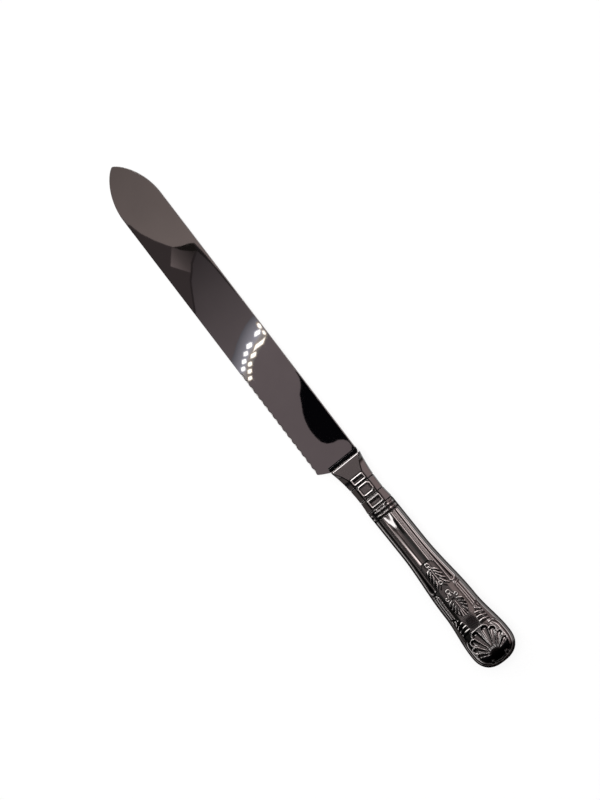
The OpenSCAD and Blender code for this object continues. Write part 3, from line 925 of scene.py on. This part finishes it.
def blade_steel():
    """Polished steel with fine grinding lines along the blade."""
    finish, graph = new_finish("blade_steel")
    lines = grain(graph, (25.0, 2600.0, 900.0))
    broad = grain(graph, (9.0, 420.0, 200.0))
    cloud = grain(graph, (60.0, 60.0, 60.0))
    ground = kept_mark(graph, "ground").part()
    polished = tint(graph, cloud, (0.55, 0.525, 0.52), (0.66, 0.63, 0.62))
    colour = tint(graph, ground, polished, (0.1, 0.09, 0.09))
    rough = 0.005 + 0.008 * lines + 0.005 * broad + 0.35 * ground
    coat(graph, colour, rough, lines + broad, depth=0.003)
    return finish


def handle_plate():
    """Bright plate, dark in the corners of the relief from patina and painted shade, and on the steep sides
    from painted shade; lighter on the crests from polish and painted highlights.
    """
    finish, graph = new_finish("handle_plate")
    crest = kept_mark(graph, "crest")
    wear = grain(graph, (700.0, 700.0, 700.0))
    # The near-black stands for patina in the hollows and for painted shade
    dark = (kept_mark(graph, "patina") * (0.9 + 0.2 * wear)).part()
    # Lighter crests: partly polish, partly painted highlight
    bright = tint(graph, crest, (0.43, 0.41, 0.405), (0.74, 0.7, 0.69))
    colour = tint(graph, dark, bright, (0.018, 0.015, 0.015))
    rough = 0.05 + 0.04 * wear + 0.04 * crest + 1.2 * (dark - 0.88).most(0)
    # A dim shine at grazing angles darkens the plate's steep sides, a painted shade
    coat(graph, colour, rough, wear, depth=0.06, grazing=0.15)
    return finish


def solder_metal():
    """Dull solder line between the two shells."""
    finish, graph = new_finish("solder")
    wear = grain(graph, (900.0, 900.0, 900.0))
    colour = tint(graph, wear, (0.40, 0.39, 0.38), (0.55, 0.54, 0.52))
    coat(graph, colour, 0.25 + 0.15 * wear, wear)
    return finish


def cement_paste():
    """Matt filling out of sight inside the handle."""
    finish, graph = new_finish("cement")
    grit = grain(graph, (1500.0, 1500.0, 1500.0))
    colour = tint(graph, grit, (0.42, 0.37, 0.30), (0.58, 0.51, 0.42))
    coat(graph, colour, 0.85 + 0.1 * grit, grit, metallic=0.0)
    return finish


# The pieces
steel = blade_steel()
plate = handle_plate()
drawings = {
    "Frames": drawing("frame_lines", frame_strokes()),
    "Threads": drawing("thread_lines", thread_strokes()),
    "Leaves": drawing("leaf_lines", leaf_strokes()),
    "Bosses": drawing("boss_lines", boss_strokes()),
    "Rim": drawing("rim_lines", rim_strokes()),
    "Shell": drawing("shell_lines", shell_strokes()),
    "Grooves": drawing("groove_lines", groove_strokes()),
    "Flutes": drawing("flute_lines", flute_strokes()),
    "Pockets and shade": drawing("pocket_lines", pocket_and_shade_strokes()),
}
shell_graph = handle_graph(drawings)
pieces = []
for part, lengths in (("neck", NECK), ("grip", GRIP), ("butt", BUTT)):
    front = grow(part + "_front", shell_graph, {**HANDLE, **lengths, **drawings, "Finish": plate})
    back = bpy.data.objects.new(part + "_back", front.data.copy())
    bpy.context.scene.collection.objects.link(back)
    back.data.transform(Matrix.Diagonal((1, 1, -1, 1)))
    back.data.flip_normals()
    pieces.append((front, "handle_front_shell", "handle_plate"))
    pieces.append((back, "handle_back_shell", "handle_plate"))
for drawn in drawings.values():
    bpy.data.objects.remove(drawn)
pieces.append((grow("blade_skin", blade_graph(), {**BLADE, "Finish": steel}), "blade", "blade_steel"))
pieces.append((grow("bolster_skin", bolster_graph(), {**BOLSTER, "Finish": steel}), "blade", "blade_steel"))

for piece, node, slot in pieces:
    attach(piece, "root")
    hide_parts(node)
for node, finish in (("solder_seam", solder_metal()), ("cement_filling", cement_paste())):
    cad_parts[node].data.materials.clear()
    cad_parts[node].data.materials.append(finish)


# Camera at the photograph's angle: a 600 by 800 picture, 367.8 mm tall at the knife
PICTURE_TALL = 367.8
CAMERA_FAR = 2000.0
CAMERA_TILT = math.radians(6)
AIM = Vector((-93.9, 1.6, 0.0))
RIGHT = Vector((0.62383, 0.78156, 0.0))
back_way = Vector((0.0, math.sin(CAMERA_TILT), math.cos(CAMERA_TILT)))
right_way = (RIGHT - RIGHT.dot(back_way) * back_way).normalized()
up_way = back_way.cross(right_way)
eye = (AIM + back_way * CAMERA_FAR) * MM
pose = Matrix((right_way, up_way, back_way)).transposed().to_4x4()
pose.translation = eye
lens = bpy.data.cameras.new("camera")
lens.sensor_width = 36.0
lens.lens = lens.sensor_width * CAMERA_FAR / PICTURE_TALL
lens.clip_start = 0.01
camera = bpy.data.objects.new("camera", lens)
camera.matrix_world = pose
bpy.context.scene.collection.objects.link(camera)
bpy.context.scene.camera = camera


# The stage: floor, lamps and cards
def glow(name, colour, strength):
    """A card's glow, as bright as the shade kept at its corners."""
    finish, graph = new_finish(name)
    shade = kept_mark(graph, "shade")
    lit = graph.add("ShaderNodeVectorMath", {"operation": "SCALE"}, {"Vector": colour, "Scale": shade})
    light = graph.add("ShaderNodeEmission", {}, {"Color": lit, "Strength": strength})
    graph.add("ShaderNodeOutputMaterial", {}, {"Surface": light})
    return finish


def board(name, corners, colour, strength=1.0, shades=None, faces=None):
    """A card through these corners, out of the picture and seen only in the metal and as light."""
    mesh = bpy.data.meshes.new(name)
    mesh.from_pydata([tuple(corner) for corner in corners], [], faces or [list(range(len(corners)))])
    mesh.materials.append(glow(name, colour, strength))
    shade = mesh.attributes.new("shade", "FLOAT", "POINT")
    shade.data.foreach_set("value", shades or [1.0] * len(corners))
    card = bpy.data.objects.new(name, mesh)
    bpy.context.scene.collection.objects.link(card)
    card.visible_camera = False
    card.visible_shadow = False
    return card


def overhead(name, x, y, level, colour, strength=1.0):
    """A level card between two places along and two across, in metres."""
    corners = [(x[0], y[0], level), (x[0], y[1], level), (x[1], y[1], level), (x[1], y[0], level)]
    return board(name, corners, colour, strength)


def wall(name, near, far, low, high, colour, strength=1.0):
    """An upright card between two places on the floor, in metres."""
    corners = [(*near, low), (*far, low), (*far, high), (*near, high)]
    return board(name, corners, colour, strength)


def above_blade(x, y, level):
    """The place at this level that the blade's front mirrors to the camera at x, y, in millimetres."""
    side_level, taper_slope = 0.8, 0.0021
    place = Vector((x, y, side_level)) * MM
    facing = Vector((-taper_slope, -BOLSTER["Side slope"], 1.0)).normalized()
    view = (eye - place).normalized()
    ray = 2 * view.dot(facing) * facing - view
    return place + ray * ((level - place.z) / ray.z)


def blade_card(name, outline, level, colour, strength=1.0, shading=(0.0, 0.0), shades=None, faces=None):
    """A card drawn by the outline that its reflection has on the blade, shaded evenly from a place on."""
    start, slope = shading
    shades = shades or [1.0 + slope * (x - start) for x, y in outline]
    card = board(name, [above_blade(x, y, level) for x, y in outline], colour, strength, shades, faces)
    card.visible_diffuse = False
    return card


def shown(graph):
    """1 where the camera sees the surroundings, directly or by metal and glass, else 0."""
    ray = graph.add("ShaderNodeLightPath")
    return ray["Is Camera Ray"].most(ray["Is Glossy Ray"]).most(ray["Is Transmission Ray"])


def floor_paper():
    """Pale paper that shows as white and still takes the knife's shadow."""
    finish, graph = new_finish("floor_paper")
    paper = graph.add("ShaderNodeBsdfDiffuse", {}, {"Color": (0.9, 0.9, 0.9, 1.0)})
    white = graph.add("ShaderNodeEmission", {}, {"Color": (1.0, 1.0, 1.0, 1.0), "Strength": 1.0})
    mixed = graph.add("ShaderNodeMixShader", {}, {0: shown(graph) * 0.85, 1: paper, 2: white})
    graph.add("ShaderNodeOutputMaterial", {}, {"Surface": mixed})
    return finish


# The knife rests on its point and on the last frame of the neck
REST_NECK = (-34.4, -5.10)
REST_POINT = (-227.8, -0.58)
floor_slope = (REST_NECK[1] - REST_POINT[1]) / (REST_NECK[0] - REST_POINT[0])
floor_level = REST_NECK[1] - floor_slope * REST_NECK[0]
bpy.ops.mesh.primitive_plane_add(size=8)
floor = bpy.context.object
floor.name = "floor"
floor.data.transform(Matrix.Rotation(-math.atan(floor_slope), 4, "Y"))
floor.data.transform(Matrix.Translation((0, 0, floor_level * MM)))
floor.data.materials.append(floor_paper())

world = bpy.data.worlds.new("studio")
bpy.context.scene.world = world
world.use_nodes = True
world.node_tree.nodes.clear()
sky = Graph(world.node_tree)
light = sky.add(
    "ShaderNodeBackground", {}, {"Color": (1.0, 1.0, 1.0, 1.0), "Strength": 0.6 + 0.4 * shown(sky)}
)
sky.add("ShaderNodeOutputWorld", {}, {"Surface": light})

# A soft lamp for the paper
lamp = bpy.data.lights.new("paper_lamp", "AREA")
lamp.size = 1.2
lamp.energy = 19.0
paper_lamp = bpy.data.objects.new("paper_lamp", lamp)
paper_lamp.location = (-0.09, 0.0, 1.35)
paper_lamp.visible_camera = False
paper_lamp.visible_glossy = False
bpy.context.scene.collection.objects.link(paper_lamp)

# Dark room round the knife, with a warm side, and the bright strips that draw the relief
BLACK = (0.006, 0.006, 0.007)
ROOM = (-1.6, 1.6)
overhead("grey_ceiling", ROOM, ROOM, 1.5, (0.15, 0.13, 0.13))
overhead("dim_ceiling_edge", ROOM, (-1.6, -0.62), 1.49, (0.085, 0.083, 0.083))
overhead("dark_ceiling_edge", (-1.6, 0.015), (-1.6, -1.1), 1.48, (0.1, 0.097, 0.095))
overhead("dark_ceiling_corner", (0.015, 1.6), (-1.6, -0.66), 1.48, (0.014, 0.014, 0.013))
overhead("dark_ceiling_butt", (0.62, 1.6), ROOM, 1.47, BLACK)
overhead("dark_ceiling_point", (-1.25, -0.62), ROOM, 1.47, BLACK)
overhead("spine_window", (-1.3, 0.5), (0.74, 1.02), 1.45, (1.0, 0.93, 0.92), 1.6)
overhead("spine_window_side", (-0.9, 0.5), (1.02, 1.5), 1.45, (1.0, 0.86, 0.85), 0.8)
overhead("point_strip", (-0.57, -0.45), (-0.6, 0.2), 1.45, (1.0, 1.0, 1.0), 3.0)
overhead("point_window", (-1.59, -1.25), (-0.9, 0.6), 1.45, (1.0, 0.98, 0.97), 2.5)
overhead("point_window_spine", (-1.59, -0.95), (0.6, 1.5), 1.44, (1.0, 0.9, 0.88), 1.3)
wall("point_window_spine_low", (-1.58, 0.6), (-1.58, 1.5), 0.8, 1.44, (1.0, 0.9, 0.88), 1.3)
overhead("butt_strip", (0.13, 0.235), (-0.5, 0.18), 1.45, (1.0, 1.0, 1.0), 2.5)
overhead("spine_panel", (0.0, 0.075), (0.06, 0.74), 1.46, (0.38, 0.31, 0.30))
wall("edge_wall", (-1.6, -1.6), (1.6, -1.6), 0.0, 1.5, BLACK)
wall("edge_wall_low", (-0.3, -1.59), (1.6, -1.59), 0.0, 0.75, (0.075, 0.066, 0.064))
wall("spine_wall", (-1.6, 1.6), (1.6, 1.6), 0.0, 1.5, (0.26, 0.21, 0.21))
wall("point_wall", (-1.6, -1.6), (-1.6, 1.6), 0.0, 1.5, BLACK)
wall("point_window_low", (-1.59, -0.9), (-1.59, 0.6), 1.05, 1.45, (1.0, 0.98, 0.97), 2.5)
overhead("point_window_edge", (-1.59, -0.8), (-1.3, -0.45), 1.44, (1.0, 1.0, 0.97), 1.8)
wall("point_window_edge_low", (-1.58, -1.4), (-1.58, -0.5), 0.6, 1.44, (1.0, 1.0, 0.97), 1.8)
wall("butt_wall", (1.6, -1.6), (1.6, 1.6), 0.0, 1.5, BLACK)

# A low flag beyond the point keeps the far paper out of the bolster's hollow
low_flag = wall("low_flag", (-0.26, -0.12), (-0.26, 0.06), 0.0, 0.012, BLACK)
low_flag.visible_diffuse = False

# Cards that the blade mirrors, each outlined as it shows on the blade
blade_card(
    "curved_flag",
    [
        (-105.6, 8.4), (-101.8, 7.8), (-98.9, 6.1), (-96.0, 3.1), (-92.3, 1.1), (-88.4, -1.2), (-84.5, -2.7),
        (-80.5, -3.5), (-75.9, -3.5), (-72.7, -2.9), (-70.4, -1.2), (-69.0, 1.4), (-68.7, 3.7), (-67.4, 5.7),
        (-65.8, 6.9), (-64.2, 7.2), (-62.6, 7.0), (-61.6, 6.2), (-58.0, 5.8), (-58.0, 14.0), (-106.0, 14.0),
    ],
    0.80, (0.002, 0.002, 0.003),
)
cool_lamps = (
    (-130.2, 5.7, 2.0, 4.4), (-128.0, -0.9, 2.2, 4.0), (-126.1, -4.5, 2.0, 3.0), (-123.8, -7.4, 2.0, 3.0),
    (-121.4, -9.9, 2.0, 2.6),
)
warm_lamps = (
    (-125.6, 3.1, 1.7, 9.0), (-123.4, -2.2, 1.9, 4.0), (-121.2, -6.0, 1.9, 2.8), (-118.7, -8.2, 1.9, 2.8),
    (-116.1, -10.1, 1.7, 2.6), (-132.2, 8.5, 3.0, 1.8), (-128.4, 8.2, 2.4, 1.4),
)
for i, (x, y, wide, tall) in enumerate(cool_lamps + warm_lamps):
    outline = [
        (-0.1 * tall, tall / 2), (wide / 2, tall / 6), (wide / 2.4, -tall / 4),
        (0.1 * tall, -tall / 2), (-wide / 2, -tall / 6), (-wide / 2.4, tall / 4),
    ]
    cool = i < len(cool_lamps)
    halo = (0.5, 0.53, 0.62) if cool else (0.5, 0.42, 0.34)
    light = (1.0, 1.0, 1.0) if cool else (1.0, 0.97, 0.9)
    blade_card("lamp_%d" % i, [(x + u, y + v) for u, v in outline], 0.79, light, 2.2)
    blade_card("halo_%d" % i, [(x + 1.5 * u, y + 1.25 * v) for u, v in outline], 0.792, halo)
haze_lines = (
    ((-138.0, 11.0), (-136.5, 4.0), (-134.5, -1.0), (-132.3, -5.0), (-130.0, -8.2), (-127.5, -12.5)),
    ((-130.2, 11.0), (-128.2, 4.0), (-126.3, -1.0), (-124.2, -5.0), (-121.8, -8.2), (-118.9, -12.5)),
    ((-126.5, 11.0), (-124.3, 4.0), (-122.3, -1.0), (-120.0, -5.0), (-117.2, -8.2), (-114.0, -12.5)),
)
for name, near, far, colour, ends in (
    ("cool_haze", haze_lines[0], haze_lines[1], (0.46, 0.46, 0.53), (0.28, 1.0)),
    ("warm_haze", haze_lines[1], haze_lines[2], (0.49, 0.46, 0.46), (1.0, 0.34)),
):
    blade_card(
        name, near + far, 0.795, colour, shades=[ends[0]] * 6 + [ends[1]] * 6,
        faces=[(i, i + 1, i + 7, i + 6) for i in range(5)],
    )
pale_side = [
    (-180.7, 9.0), (-182.0, 7.0), (-183.3, 3.4), (-185.3, 0.1), (-187.9, -1.7), (-193.2, -4.8),
    (-199.8, -7.8), (-205.7, -9.1),
]
dark_line = [(-168.0, 9.75), (-176.0, 9.5)]
dark_side = [
    (-176.8, 7.7), (-173.5, 2.4), (-170.5, -0.2), (-167.6, -3.2), (-163.0, -6.1), (-158.4, -8.8),
    (-155.1, -10.7), (-150.0, -20.0),
]
blade_card(
    "pale_card",
    [(-245, 20), (-158, 20), (-158, 10.3)] + dark_line + pale_side + [(-215, -10.4), (-245, -20)],
    0.82, (0.205, 0.172, 0.165), shading=(-190.0, 0.0065),
)
blade_card(
    "middle_card",
    [(-172.0, 20), (-132.5, 20), (-129.0, 8.0), (-115.0, -14), (-115.0, -20)] + dark_side[::-1],
    0.83, (0.10, 0.086, 0.091), shading=(-151.0, 0.021),
)
blade_card(
    "dark_card", dark_side + [(-215, -20)] + pale_side[::-1],
    0.81, (0.05, 0.041, 0.042), shading=(-178.0, 0.004),
)
blade_card(
    "dark_strip",
    [(-144.0, 9.8), (-155.0, 9.9)] + dark_line + [(-180.7, 9.0), (-176.8, 7.7), (-168.0, 9.1), (-155.0, 9.4)],
    0.80, (0.018, 0.015, 0.016),
)
blade_card(
    "pale_patch", [(-185.4, -0.7), (-179.2, 6.0), (-176.6, 6.4), (-170.6, -0.6), (-179.1, -6.4)],
    0.80, (0.12, 0.1, 0.1), shades=[0.75, 0.25, 0.25, 0.75, 1.5], faces=[(0, 1, 2, 3), (0, 3, 4)],
)
blade_card(
    "dark_corner",
    [(-180.7, 9.0), (-182.0, 7.0), (-183.3, 3.4), (-185.0, 0.2), (-181.7, 2.2), (-178.6, 5.4), (-176.8, 7.7)],
    0.79, (0.014, 0.012, 0.011),
)
blade_card(
    "dark_seam", dark_side[:7] + [(x - 1.0, y - 0.4) for x, y in dark_side[6::-1]],
    0.79, (0.03, 0.025, 0.026),
)
blade_card(
    "root_card", [(-132.5, 20), (-50, 20), (-50, -20), (-115.0, -20), (-115.0, -14), (-129.0, 8.0)],
    0.84, (0.165, 0.139, 0.147), shading=(-95.0, -0.001),
)

bpy.context.scene.view_settings.view_transform = "Standard"
